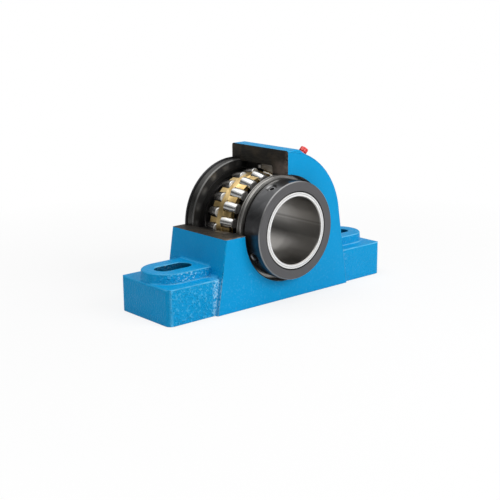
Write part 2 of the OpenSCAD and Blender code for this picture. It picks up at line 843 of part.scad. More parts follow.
// Steel case of the rear seal, pressed into the cover up to its web
module rear_seal_case() color([0.55, 0.55, 0.55]) {
    outer = cover_seal_radius - seat_gap;
    end = cover_web_end + rear_seal_width;
    on_shaft() rotate_extrude() polygon([
        [rear_case_bore, cover_web_end],
        [outer, cover_web_end],
        [outer, end - 0.6],
        [outer - 0.6, end],
        [rear_lip_root, end],
        [rear_lip_root, end - seal_wall],
        [rear_case_bore, end - seal_wall]
    ]);
}

module rear_seal_lip() color([0.1, 0.1, 0.1]) {
    on_shaft() rotate_extrude() lip_section(rear_lip_root, cover_web_end + rear_seal_width, -1);
}

// Places a shape on both of the retaining ring's eyes
module circlip_eyes() {
    for (side = [-1, 1]) rotate(90 + side * circlip_gap / 2) translate([circlip_eye_place, 0]) children();
}

// Internal retaining ring, open at the bottom between two eyes
module retaining_ring() color([0.35, 0.35, 0.36]) {
    half_gap = circlip_gap / 2;
    far = 2 * circlip_outer;
    on_shaft() translate([0, 0, cover_end]) linear_extrude(circlip_thickness) difference() {
        union() {
            difference() {
                circle(r = circlip_outer);
                circle(r = circlip_inner);
                polygon([
                    [0, 0],
                    [far * sin(half_gap), far * cos(half_gap)],
                    [-far * sin(half_gap), far * cos(half_gap)]
                ]);
            }
            circlip_eyes() circle(r = circlip_eye_radius);
        }
        circlip_eyes() circle(r = circlip_hole_radius);
    }
}

// Grease fitting with a through passage, a valve bore and a nipple head
module grease_fitting() color([0.75, 0.73, 0.68]) {
    on_fitting() difference() {
        union() {
            translate([0, 0, spot_face - shank_length]) cylinder(r = shank_radius, h = shank_length);
            translate([0, 0, spot_face]) cylinder(d = hexagon_width / cos(30), h = hexagon_height, $fn = 6);
            rotate_extrude() polygon([
                [0, spot_face],
                [nipple_radius, spot_face],
                [nipple_radius, hexagon_top + 2],
                [nipple_neck, hexagon_top + 4],
                [nipple_neck, nipple_top - 4.5],
                [nipple_radius, nipple_top - 3],
                [nipple_radius, nipple_top - 1.5],
                [nipple_neck, nipple_top],
                [0, nipple_top]
            ]);
        }
        translate([0, 0, spot_face - shank_length - past])
            cylinder(r = valve_bore, h = seat_start - spot_face + shank_length + past);
        translate([0, 0, seat_start]) cylinder(r1 = valve_bore, r2 = mouth_radius, h = ball_radius);
        translate([0, 0, seat_start + ball_radius / 2])
            cylinder(r = mouth_radius, h = mouth_depth + ball_radius);
    }
}

module check_ball() color([0.8, 0.8, 0.8]) {
    on_fitting() translate([0, 0, ball_place]) sphere(r = ball_radius);
}

// Soft cap over the nipple, with a bead at its mouth and a domed top
module grease_cap() color([0.85, 0.12, 0.08]) {
    top = cap_start + cap_height;
    on_fitting() rotate_extrude() difference() {
        union() {
            translate([0, cap_start]) square([cap_radius - cap_flare, cap_height - cap_edge]);
            translate([0, top - cap_head]) square([cap_radius, cap_head - cap_edge]);
            translate([0, top - cap_head]) square([cap_radius - cap_edge, cap_head]);
            translate([cap_radius - cap_edge, top - cap_edge]) circle(r = cap_edge);
        }
        translate([0, cap_start - past]) square([cap_bore, nipple_height + past]);
        translate([-2 * cap_radius, 0]) square([2 * cap_radius, 2 * arch_radius]);
    }
}

housing();
outer_ring();
inner_ring();
cage();
guide_ring();
lock_collar();
set_screw(screw_phases[0]);  // upper_set_screw
set_screw(screw_phases[1]);  // lower_set_screw
front_seal_case();
front_seal_lip();
rear_cover();
rear_seal_case();
rear_seal_lip();
retaining_ring();
grease_fitting();
check_ball();
grease_cap();
for (i = [0:rollers_per_row - 1]) {
    roller(-1, i);
    roller(1, i);
}
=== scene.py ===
"""Pillow block bearing: finishes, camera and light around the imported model.

The casting, the bearing, the collar, the seals and the grease fitting come from
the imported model. This file gives each of them its surface, and sets the studio.
Everything is in metres, with X along the base, Y along the shaft and Z up.
"""

import logging
import math
from dataclasses import dataclass
from enum import Enum
from functools import cached_property, partial, reduce
from typing import Dict, List, Optional, Sequence, Tuple, Union

import bmesh
import bpy
from mathutils import Matrix, Vector

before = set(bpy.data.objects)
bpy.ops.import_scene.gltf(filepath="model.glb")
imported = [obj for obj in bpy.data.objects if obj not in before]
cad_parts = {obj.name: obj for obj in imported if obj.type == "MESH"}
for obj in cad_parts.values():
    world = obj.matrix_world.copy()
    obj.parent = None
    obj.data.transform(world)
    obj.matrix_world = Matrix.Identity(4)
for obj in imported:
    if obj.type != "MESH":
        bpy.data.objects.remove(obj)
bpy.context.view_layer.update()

logging.basicConfig(level=logging.INFO, format="%(message)s")
LOG = logging.getLogger("pillow_block")

ROLLERS_PER_ROW = 20
ROLLERS = tuple(
    f"roller_{row}_{number:02d}"
    for row in ("front", "rear")
    for number in range(1, ROLLERS_PER_ROW + 1)
)

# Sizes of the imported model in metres, and the slant of the roller axes
SHAFT_HEIGHT = 0.097
CUT_OFFSET = 0.0035
FACE_DEPTH = 0.056
FOOT_TOP = 0.047
BOSS_TOP = 0.06
CONTACT_ANGLE = math.radians(12.5)

Colour = Tuple[float, float, float]
Place = Tuple[float, float, float]
Pair = Tuple[float, float]
Material = bpy.types.Material
Nodes = bpy.types.NodeTree
Socket = bpy.types.NodeSocket
Sockets = Dict[str, Socket]
Value = Union[float, Sequence[float], Socket]


def shade(colour: Colour, share: float) -> List[float]:
    """A colour at a share of its brightness."""
    return [part * share for part in colour]


class Sum(Enum):
    """The arithmetic that the finishes use."""

    ADD = "ADD"
    TAKE = "SUBTRACT"
    TIMES = "MULTIPLY"
    OVER = "DIVIDE"
    LARGER = "MAXIMUM"
    SMALLER = "MINIMUM"
    SIZE = "ABSOLUTE"
    ANGLE = "ARCTAN2"
    ROOT = "SQRT"
    WAVE = "COSINE"


class Tree:
    """Adds nodes to one shader tree and joins them."""

    def __init__(self, tree: Nodes) -> None:
        """Keeps the tree of a material, a world or a group."""
        self.tree = tree

    def put(self, socket: Socket, value: Value) -> None:
        """Gives an input socket a value or a link.

        Args:
            socket: the input.
            value: a number, a list of numbers or another node's output.
        """
        if isinstance(value, Socket):
            self.tree.links.new(value, socket)
        elif isinstance(value, (int, float)) and socket.type in ("RGBA", "VECTOR"):
            size = len(socket.default_value)
            socket.default_value = [value] * 3 + [1.0] * (size - 3)
        elif socket.type == "RGBA" and len(value) == 3:
            socket.default_value = [*value, 1.0]
        else:
            socket.default_value = value

    def add(self, kind: str, inputs: Optional[Dict] = None, **settings) -> bpy.types.Node:
        """Adds one node.

        Args:
            kind: the node's type name.
            inputs: socket name or number, and its value or link.
            settings: the node's own properties.

        Returns:
            The new node.
        """
        node = self.tree.nodes.new(kind)
        for name, value in settings.items():
            setattr(node, name, value)
        for name, value in (inputs or {}).items():
            self.put(node.inputs[name], value)
        return node

    def sum(self, how: Sum, a: Value, b: Value = 0.0) -> Socket:
        """One step of arithmetic on one or two numbers."""
        return self.add("ShaderNodeMath", {0: a, 1: b}, operation=how.value).outputs[0]

    def times(self, first: Value, *others: Value) -> Socket:
        """Multiplies several numbers."""
        return reduce(partial(self.sum, Sum.TIMES), others, first)

    def size(self, value: Value) -> Socket:
        """The value without its sign."""
        return self.sum(Sum.SIZE, value)

    def off(self, value: Value, mark: float) -> Socket:
        """How far the value is from a mark."""
        return self.size(self.sum(Sum.TAKE, value, mark))

    def larger(self, a: Value, b: Value) -> Socket:
        """The larger of two values."""
        return self.sum(Sum.LARGER, a, b)

    def smaller(self, a: Value, b: Value) -> Socket:
        """The smaller of two values."""
        return self.sum(Sum.SMALLER, a, b)

    def span(
        self, value: Value, low: float, high: float, to_low: float = 0.0, to_high: float = 1.0
    ) -> Socket:
        """Maps a value from one range onto another, and holds it inside.

        Args:
            value: what is mapped.
            low: the value that gives to_low.
            high: the value that gives to_high.
            to_low: the result at low.
            to_high: the result at high.

        Returns:
            The mapped value's socket.
        """
        limits = {"From Min": low, "From Max": high, "To Min": to_low, "To Max": to_high}
        inputs = {"Value": value, **limits}
        return self.add("ShaderNodeMapRange", inputs, clamp=True).outputs[0]

    def fade(self, value: Value, full: float, gone: float) -> Socket:
        """1 at the first limit, and 0 at the second and past it."""
        return self.span(value, full, gone, 1.0, 0.0)

    def blend(self, share: Value, a: Value, b: Value) -> Socket:
        """Mixes two colours, with so large a share of the second."""
        return self._mix("RGBA", "Color", share, a, b)

    def between(self, share: Value, a: Value, b: Value) -> Socket:
        """Mixes two numbers, with so large a share of the second."""
        return self._mix("FLOAT", "Float", share, a, b)

    def _mix(self, kind: str, ending: str, share: Value, a: Value, b: Value) -> Socket:
        """Adds a Mix node, whose sockets share names and differ in identifier.

        Args:
            kind: what it mixes.
            ending: the end of the sockets' identifiers.
            share: how much of b shows.
            a: the first colour or number.
            b: the second colour or number.

        Returns:
            The result's socket.
        """
        node = self.add("ShaderNodeMix", data_type=kind)
        values = {"Factor_Float": share, f"A_{ending}": a, f"B_{ending}": b}
        for socket in node.inputs:
            if socket.identifier in values:
                self.put(socket, values[socket.identifier])
        return next(out for out in node.outputs if out.identifier == f"Result_{ending}")

    def parts(self, vector: Value) -> Tuple[Socket, ...]:
        """The three parts of a vector."""
        return tuple(self.add("ShaderNodeSeparateXYZ", {0: vector}).outputs)

    def noise(self, place: Value, scale: float, detail: float, twist: float = 0.0) -> Socket:
        """Noise with so many clouds in a metre, so many finer layers, and distortion."""
        inputs = {"Vector": place, "Scale": scale, "Detail": detail, "Distortion": twist}
        return self.add("ShaderNodeTexNoise", inputs).outputs[0]

    def group(self, group: Nodes, inputs: Dict[str, Value]) -> Sockets:
        """Places a node group, and hands out its outputs by name."""
        node = self.add("ShaderNodeGroup", inputs, node_tree=group)
        return {socket.name: socket for socket in node.outputs}


class Effects:
    """The surface effects that several finishes share, as node groups."""

    VECTORS = ("Position", "Facing")

    def __init__(self) -> None:
        """Builds every group once."""
        self.shaft_place = self._shaft_place()
        self.cast_skin = self._cast_skin()
        self.turning = self._turning()
        self.smears = self._smears()
        self.sawn = self._sawn()

    @staticmethod
    def _start(
        name: str, inputs: Sequence[str], outputs: Sequence[str]
    ) -> Tuple[Tree, bpy.types.NodeOutputs, bpy.types.NodeInputs]:
        """Makes an empty group, in which all but the place and the facing are numbers.

        Args:
            name: the group's name.
            inputs: name of each input.
            outputs: name of each output.

        Returns:
            The group's tree, what comes in and what goes out.
        """
        group = bpy.data.node_groups.new(name, "ShaderNodeTree")
        for label in inputs:
            kind = "NodeSocketVector" if label in Effects.VECTORS else "NodeSocketFloat"
            group.interface.new_socket(label, in_out="INPUT", socket_type=kind)
        for label in outputs:
            group.interface.new_socket(label, in_out="OUTPUT", socket_type="NodeSocketFloat")
        tree = Tree(group)
        return tree, tree.add("NodeGroupInput").outputs, tree.add("NodeGroupOutput").inputs

    def _shaft_place(self) -> Nodes:
        """Radius, angle and reach of a place about the shaft's axis.

        Returns:
            The group.
        """
        tree, ins, outs = self._start("shaft_place", ("Position",), ("Radius", "Angle", "Axial"))
        x, y, z = tree.parts(ins["Position"])
        up = tree.sum(Sum.TAKE, z, SHAFT_HEIGHT)
        squares = tree.sum(Sum.ADD, tree.times(x, x), tree.times(up, up))
        tree.put(outs["Radius"], tree.sum(Sum.ROOT, squares))
        tree.put(outs["Angle"], tree.sum(Sum.ANGLE, up, x))
        tree.put(outs["Axial"], y)
        return tree.tree

    def _cast_skin(self) -> Nodes:
        """Lumps and pits of a sand casting under paint.

        Returns:
            The group.
        """
        tree, ins, outs = self._start(
            "cast_skin", ("Position", "Roughness of Cast"), ("Height", "Pits", "Crests")
        )
        place, amount = ins["Position"], ins["Roughness of Cast"]
        lumps = tree.noise(place, 300.0, 2.0, 0.6)
        waves = tree.noise(place, 90.0, 2.0)
        cells = tree.add("ShaderNodeTexVoronoi", {"Vector": place, "Scale": 420.0})
        pits = tree.span(cells.outputs["Distance"], 0.05, 0.55)
        height = tree.sum(Sum.ADD, tree.times(lumps, 0.8), tree.times(waves, 0.3))
        height = tree.sum(Sum.ADD, height, tree.times(pits, 0.35))
        tree.put(outs["Height"], tree.times(height, amount))
        tree.put(outs["Pits"], pits)
        tree.put(outs["Crests"], tree.times(tree.span(lumps, 0.54, 0.66), amount))
        return tree.tree

    def _turning(self) -> Nodes:
        """Fine lines that a lathe or grinder leaves round the shaft's axis.

        Returns:
            The group.
        """
        tree, ins, outs = self._start("turning_lines", ("Position", "Lines"), ("Line", "Band"))
        place = tree.group(self.shaft_place, {"Position": ins["Position"]})
        across = tree.times(place["Radius"], ins["Lines"])
        along = tree.times(place["Axial"], ins["Lines"])
        round_it = tree.times(place["Angle"], 0.6)
        spread = tree.add("ShaderNodeCombineXYZ", {0: across, 1: along, 2: round_it}).outputs[0]
        tree.put(outs["Line"], tree.noise(spread, 1.0, 2.0))
        tree.put(outs["Band"], tree.noise(spread, 0.12, 1.0))
        return tree.tree

    def _smears(self) -> Nodes:
        """Patches of oil, grease and handling marks.

        Returns:
            The group.
        """
        tree, ins, outs = self._start("smears", ("Position", "Amount"), ("Patch", "Speck"))
        wide = tree.noise(ins["Position"], 45.0, 4.0, 1.2)
        fine = tree.noise(ins["Position"], 480.0, 3.0, 0.3)
        tree.put(outs["Patch"], tree.times(tree.span(wide, 0.42, 0.68), ins["Amount"]))
        tree.put(outs["Speck"], tree.times(tree.span(fine, 0.55, 0.75), ins["Amount"]))
        return tree.tree

    def _sawn(self) -> Nodes:
        """Finds the faces of the two saw cuts, and the strokes of the saw.

        Returns:
            The group.
        """
        tree, ins, outs = self._start("sawn_faces", ("Position", "Facing"), ("Sawn", "Stroke"))
        x, _, z = tree.parts(ins["Position"])
        across, _, rising = tree.parts(ins["Facing"])
        near, clear = 0.0002, 0.0003
        level = tree.times(
            tree.fade(tree.off(z, SHAFT_HEIGHT), near, clear), tree.span(rising, 0.6, 0.8)
        )
        upright = tree.times(
            tree.fade(tree.off(x, CUT_OFFSET), near, clear), tree.span(across, -0.6, -0.8)
        )
        tree.put(outs["Sawn"], tree.larger(level, upright))
        strokes = (900.0, 60.0, 900.0)
        stretch = tree.add(
            "ShaderNodeVectorMath", {0: ins["Position"], 1: strokes}, operation="MULTIPLY"
        )
        tree.put(outs["Stroke"], tree.noise(stretch.outputs[0], 1.0, 2.0))
        return tree.tree


class Surface(Tree):
    """The shader tree of one material, with its coordinates and the shared effects."""

    def __init__(self, material: Material, effects: Effects) -> None:
        """Starts the material with its shader and its object coordinates.

        Args:
            material: the new material.
            effects: the shared node groups.
        """
        material.use_nodes = True
        material.node_tree.nodes.clear()
        super().__init__(material.node_tree)
        self.effects = effects
        self.shader = self.add("ShaderNodeBsdfPrincipled")
        end = self.add("ShaderNodeOutputMaterial")
        self.put(end.inputs["Surface"], self.shader.outputs["BSDF"])
        source = self.add("ShaderNodeTexCoord")
        self.place = source.outputs["Object"]
        self.facing = source.outputs["Normal"]

    def set(self, name: str, value: Value) -> None:
        """Gives one of the shader's inputs a value or a link."""
        self.put(self.shader.inputs[name], value)

    def source(self, name: str) -> Socket:
        """What feeds one of the shader's inputs."""
        return self.shader.inputs[name].links[0].from_socket

    def bump(self, height: Value, depth: float) -> None:
        """Raises the surface by a height of 0 to 1, so deep in metres."""
        inputs = {"Height": height, "Distance": depth, "Strength": 1.0}
        self.set("Normal", self.add("ShaderNodeBump", inputs).outputs[0])

    @cached_property
    def spot(self) -> Tuple[Socket, ...]:
        """X, Y and Z of the place."""
        return self.parts(self.place)

    @cached_property
    def turned(self) -> Tuple[Socket, ...]:
        """X, Y and Z of the way that the surface faces."""
        return self.parts(self.facing)

    @cached_property
    def about(self) -> Sockets:
        """Radius, Angle and Axial reach about the shaft."""
        return self.group(self.effects.shaft_place, {"Position": self.place})

    @cached_property
    def sawn(self) -> Sockets:
        """Sawn, which is 1 on the saw cuts, and the saw's Stroke."""
        inputs = {"Position": self.place, "Facing": self.facing}
        return self.group(self.effects.sawn, inputs)

    def turning(self, lines: float) -> Sockets:
        """Turned lines, so many in a metre."""
        return self.group(self.effects.turning, {"Position": self.place, "Lines": lines})

    def smears(self, amount: float) -> Sockets:
        """Oil, grease and handling marks of a given strength."""
        return self.group(self.effects.smears, {"Position": self.place, "Amount": amount})

    def cast_skin(self, amount: Value) -> Sockets:
        """The skin of a sand casting, of a given strength."""
        inputs = {"Position": self.place, "Roughness of Cast": amount}
        return self.group(self.effects.cast_skin, inputs)

    def end_face(self) -> Socket:
        """1 where the surface faces along the shaft, to the front or the back."""
        return self.span(self.size(self.turned[1]), 0.9, 0.97)


@dataclass(frozen=True)
class Finish:
    """A surface: its look under plain light, and the name it goes by.

    Attributes:
        name: the material's name.
        colour: the main colour, linear.
        roughness: how far reflections are spread.
        metallic: 1 for bare metal and 0 for paint, rubber and plastic.
        glint: strength of the plain reflection.
    """

    name: str
    colour: Colour
    roughness: float
    metallic: float
    glint: float = 0.5

    def make(self, effects: Effects) -> Material:
        """Builds the material.

        Args:
            effects: the shared node groups.

        Returns:
            The finished material.
        """
        material = bpy.data.materials.new(self.name)
        tree = Surface(material, effects)
        tree.set("Base Color", self.colour)
        tree.set("Roughness", self.roughness)
        tree.set("Metallic", self.metallic)
        tree.set("Specular IOR Level", self.glint)
        self.dress(tree)
        return material

    def dress(self, tree: Surface) -> None:
        """Adds what is particular to the finish."""


@dataclass(frozen=True)
class CastingPaint(Finish):
    """Blue paint on the casting, with bare bores, base and saw cuts.

    Attributes:
        pit_shade_colour: painted shade in the pits of the cast skin.
        crest_highlight_colour: painted highlights on the crests of the cast skin, on faces that
            look to the front.
        speck_highlight_colour: the palest painted highlight specks, where the feet and bosses meet
            the block.
        edge_wear_and_highlight_colour: the paler paint along the rounded edges, a painted
            highlight.
        slot_shadow_colour: painted shadow inside the bolt slots.
        bored_colour: the machined iron of the bores and the base face.
        line_colour: the turned lines in the machined iron.
        sawn_colour: the dull iron of the saw cuts.
        stain_colour: brown stains on the saw cuts.
        stroke_colour: the brighter strokes of the saw.
        seat_colour: the paler iron where the ring sat, on the upright cut.
        chip_colour: the chipped front and rear edges of the cuts.
        skin_depth: depth of the cast skin, in metres.
        calm: how much of the skin is left on flat tops, ends and the right foot.
        milled: how much of the skin is left on the block's front and rear faces.
        bore_radius: radius of the housing's widest bore, in metres.
        slot_place: distance of the bolt slots from the middle, in metres.
        slot_half: half the length and half the width of a bolt slot, in metres.
        block_half: half the block's length at the base, in metres.
        flank_lean: how far the block's flanks lean in, for each metre up.
        boss_side: where the painted highlight specks on the bosses' sides start, are full, thin and
            end.
        right_foot: where the smoother right foot starts, and is full.
        seat_height: where the seat's mark starts, is full, thins and ends.
        seat_depth: where the seat's mark starts along the shaft, and is full.
        lines: how many turned lines there are in a metre.
    """

    pit_shade_colour: Colour = (0.0, 0.12, 0.3)
    crest_highlight_colour: Colour = (0.08, 0.47, 0.78)
    speck_highlight_colour: Colour = (0.3, 0.62, 0.86)
    edge_wear_and_highlight_colour: Colour = (0.16, 0.55, 0.82)
    slot_shadow_colour: Colour = (0.0, 0.03, 0.075)
    bored_colour: Colour = (0.16, 0.155, 0.15)
    line_colour: Colour = (0.1, 0.098, 0.095)
    sawn_colour: Colour = (0.022, 0.021, 0.019)
    stain_colour: Colour = (0.046, 0.037, 0.027)
    stroke_colour: Colour = (0.062, 0.057, 0.05)
    seat_colour: Colour = (0.15, 0.12, 0.102)
    chip_colour: Colour = (0.38, 0.29, 0.23)
    skin_depth: float = 0.0023
    calm: float = 0.4
    milled: float = 0.05
    bore_radius: float = 0.0838
    slot_place: float = 0.146
    slot_half: Pair = (0.0272, 0.0132)
    block_half: float = 0.119
    flank_lean: float = 0.1625
    boss_side: Tuple[float, ...] = (0.131, 0.139, 0.16, 0.167)
    right_foot: Pair = (0.09, 0.125)
    seat_height: Tuple[float, ...] = (0.15, 0.16, 0.178, 0.187)
    seat_depth: Pair = (-0.026, -0.042)
    lines: float = 2600.0

    def dress(self, tree: Surface) -> None:
        """Paint, cast skin, machined faces and saw cuts, each in its own place.

        Args:
            tree: the material's tree.
        """
        depth = tree.size(tree.spot[1])
        milled = tree.times(tree.span(depth, FACE_DEPTH, FACE_DEPTH + 0.0003), tree.end_face())
        bored = self._bored(tree)
        sawn = tree.sawn["Sawn"]
        patches = tree.smears(1.0)["Patch"]
        skin = tree.cast_skin(self._skin_amount(tree, milled))

        # Painted shade in the skin's pits and painted highlights on its crests
        paint = self._skin_shade_and_highlights(tree, skin, milled)
        # Painted highlights along the rounded edges, the feet's corners and the block's front arris
        paint = tree.blend(self._edge_highlights(tree, milled), paint, self.edge_wear_and_highlight_colour)
        # Painted shadow on the walls of the bolt slots
        slot_shadow_share = tree.times(self._slot_shadow(tree), 0.75)
        paint = tree.blend(slot_shadow_share, paint, self.slot_shadow_colour)
        line = tree.span(tree.turning(self.lines)["Line"], 0.3, 0.7)
        iron = tree.blend(line, self.bored_colour, self.line_colour)
        colour = tree.blend(bored, paint, iron)
        colour = tree.blend(sawn, colour, self._saw_cuts(tree, patches))
        tree.set("Base Color", colour)

        bare = tree.larger(bored, sawn)
        tree.set("Metallic", tree.times(bare, 0.55))
        cloud = tree.noise(tree.place, 60.0, 2.0)
        gloss = tree.span(cloud, 0.3, 0.7, self.roughness - 0.05, self.roughness + 0.07)
        gloss = tree.between(milled, gloss, self.roughness + 0.1)
        dull = tree.span(patches, 0.0, 1.0, 0.5, 0.32)
        tree.set("Roughness", tree.between(bare, gloss, dull))

        strokes = tree.times(tree.sawn["Stroke"], 0.12)
        height = tree.between(sawn, skin["Height"], strokes)
        tree.bump(height, self.skin_depth)

    def _bored(self, tree: Surface) -> Socket:
        """Finds the machined bores and the base face.

        Args:
            tree: the material's tree.

        Returns:
            1 on the machined iron.
        """
        depth = tree.size(tree.spot[1])
        inside = tree.times(
            tree.fade(tree.about["Radius"], self.bore_radius, self.bore_radius + 0.0001),
            tree.fade(depth, FACE_DEPTH + 0.0002, FACE_DEPTH + 0.0004),
        )
        under = tree.fade(tree.spot[2], 0.0001, 0.0002)
        return tree.larger(inside, under)

    def _slot_shadow(self, tree: Surface) -> Socket:
        """Finds the walls of the bolt slots, where shadow is painted.

        Args:
            tree: the material's tree.

        Returns:
            1 on the walls.
        """
        x, y, z = tree.spot
        half_length, half_width = self.slot_half
        along = tree.off(tree.size(x), self.slot_place)
        return tree.times(
            tree.fade(along, half_length, half_length + 0.0004),
            tree.fade(tree.size(y), half_width, half_width + 0.0003),
            tree.fade(z, BOSS_TOP - 0.0015, BOSS_TOP - 0.0005),
        )

    def _skin_amount(self, tree: Surface, milled: Socket) -> Socket:
        """How strongly the cast skin shows.

        Args:
            tree: the material's tree.
            milled: 1 on the block's front and rear faces.

        Returns:
            The strength, from 0 to 1.
        """
        x, _, z = tree.spot
        across, _, rising = tree.turned
        tops = tree.span(tree.size(rising), 0.5, 0.8, 1.0, self.calm)
        block = tree.span(z, BOSS_TOP + 0.0005, BOSS_TOP + 0.006, 1.0, self.calm)
        ends = tree.span(tree.size(across), 0.5, 0.85, 1.0, self.calm)
        right = tree.span(x, *self.right_foot, 1.0, self.calm)
        rough = tree.times(tree.smaller(tops, block), tree.smaller(ends, right))
        return tree.between(milled, rough, self.milled)

    def _skin_shade_and_highlights(self, tree: Surface, skin: Sockets, milled: Socket) -> Socket:
        """Paint with painted shade in the pits of the skin and painted highlights on its crests.

        Args:
            tree: the material's tree.
            skin: the cast skin's outputs.
            milled: 1 on the block's front and rear faces.

        Returns:
            The paint's colour.
        """
        x, _, z = tree.spot
        crests = skin["Crests"]
        cloud = tree.span(tree.noise(tree.place, 16.0, 3.0), 0.3, 0.75, 0.0, 0.35)
        paint = tree.blend(cloud, self.colour, shade(self.colour, 0.82))
        # Painted shade at the bottoms of the skin's pits
        pits = tree.span(skin["Pits"], 0.0, 0.35, 0.1, 0.0)
        paint = tree.blend(pits, paint, self.pit_shade_colour)

        # Painted highlights on the skin's crests, strongest on faces that look to the front
        front = tree.times(
            tree.span(tree.turned[1], -0.3, -0.8, 0.2, 1.0),
            tree.span(x, *self.right_foot, 1.0, 0.25),
        )
        paint = tree.blend(tree.times(front, 0.6, crests), paint, self.crest_highlight_colour)

        # Painted highlights: the palest specks sit on the bosses' straight sides and at the feet's
        # roots
        out = tree.size(x)
        on_boss = tree.span(z, FOOT_TOP + 0.0005, FOOT_TOP + 0.003)
        start, full, thin, end = self.boss_side
        boss_side = tree.smaller(
            tree.span(out, start, full, 0.2, 1.0), tree.span(out, thin, end, 1.0, 0.1)
        )
        foot_root = tree.span(out, self.block_half, self.block_half + 0.008, 0.9, 0.0)
        speck_highlights = tree.times(tree.between(on_boss, foot_root, boss_side), front, crests)
        root_highlight_strip = tree.times(
            tree.fade(out, self.block_half + 0.0015, self.block_half + 0.0045),
            tree.fade(x, 0.0, 0.02),
            front,
            tree.span(on_boss, 0.0, 1.0, 0.85, 0.0),
            tree.span(tree.noise(tree.place, 420.0, 2.0, 0.4), 0.44, 0.56),
            tree.sum(Sum.TAKE, 1.0, milled),
        )
        return tree.blend(tree.larger(speck_highlights, root_highlight_strip), paint, self.speck_highlight_colour)

    def _edge_highlights(self, tree: Surface, milled: Socket) -> Socket:
        """Finds the rounded edges and corners, where a highlight is painted.

        Args:
            tree: the material's tree.
            milled: 1 on the block's front and rear faces.

        Returns:
            How strong the painted highlight is, from 0 to 1.
        """
        x, _, z = tree.spot
        across, _, rising = tree.turned
        aside = tree.size(across)
        rounded = tree.times(
            tree.smaller(tree.span(rising, 0.35, 0.6), tree.span(rising, 0.985, 0.9)),
            tree.fade(z, BOSS_TOP + 0.0002, BOSS_TOP + 0.002),
            tree.span(aside, 0.2, 0.45, 1.0, 0.25),
            0.75,
        )
        corner = tree.times(
            tree.smaller(tree.span(aside, 0.1, 0.25), tree.span(aside, 0.75, 0.55)),
            tree.span(tree.size(rising), 0.05, 0.2, 0.35, 0.0),
            tree.fade(z, FOOT_TOP - 0.001, FOOT_TOP + 0.001),
        )
        flank = tree.sum(Sum.TAKE, self.block_half, tree.times(z, self.flank_lean))
        inboard = tree.sum(Sum.TAKE, flank, tree.size(x))
        arris = tree.times(
            tree.span(inboard, 0.0006, 0.0012, 0.8, 0.0),
            milled,
            tree.fade(z, SHAFT_HEIGHT, SHAFT_HEIGHT + 0.001),
        )
        patchy = tree.span(tree.noise(tree.place, 70.0, 2.0), 0.3, 0.6, 0.45, 1.0)
        return tree.times(tree.larger(tree.larger(rounded, corner), arris), patchy)

    def _saw_cuts(self, tree: Surface, patches: Socket) -> Socket:
        """Dull, stained iron with saw strokes, a paler seat and chipped edges.

        Args:
            tree: the material's tree.
            patches: where oil and grease lie.

        Returns:
            The colour of the saw cuts.
        """
        _, y, z = tree.spot
        iron = tree.blend(patches, self.sawn_colour, self.stain_colour)
        strokes = tree.span(tree.sawn["Stroke"], 0.45, 0.8, 0.0, 0.5)
        iron = tree.blend(strokes, iron, self.stroke_colour)
        start, full, thin, end = self.seat_height
        seat = tree.times(
            tree.span(z, start, full),
            tree.fade(z, thin, end),
            tree.span(y, *self.seat_depth),
            tree.span(tree.noise(tree.place, 130.0, 3.0), 0.3, 0.6, 0.4, 1.0),
        )
        iron = tree.blend(seat, iron, self.seat_colour)
        rear_edge = tree.span(y, FACE_DEPTH - 0.0025, FACE_DEPTH - 0.0002, 0.0, 0.5)
        front_edge = tree.span(y, 0.007 - FACE_DEPTH, 0.0004 - FACE_DEPTH)
        level = tree.fade(z, SHAFT_HEIGHT + 0.001, SHAFT_HEIGHT + 0.002)
        chips = tree.times(
            tree.larger(rear_edge, front_edge),
            tree.between(level, 0.4, 1.0),
            tree.span(tree.noise(tree.place, 320.0, 3.0, 0.8), 0.4, 0.6),
        )
        return tree.blend(chips, iron, self.chip_colour)


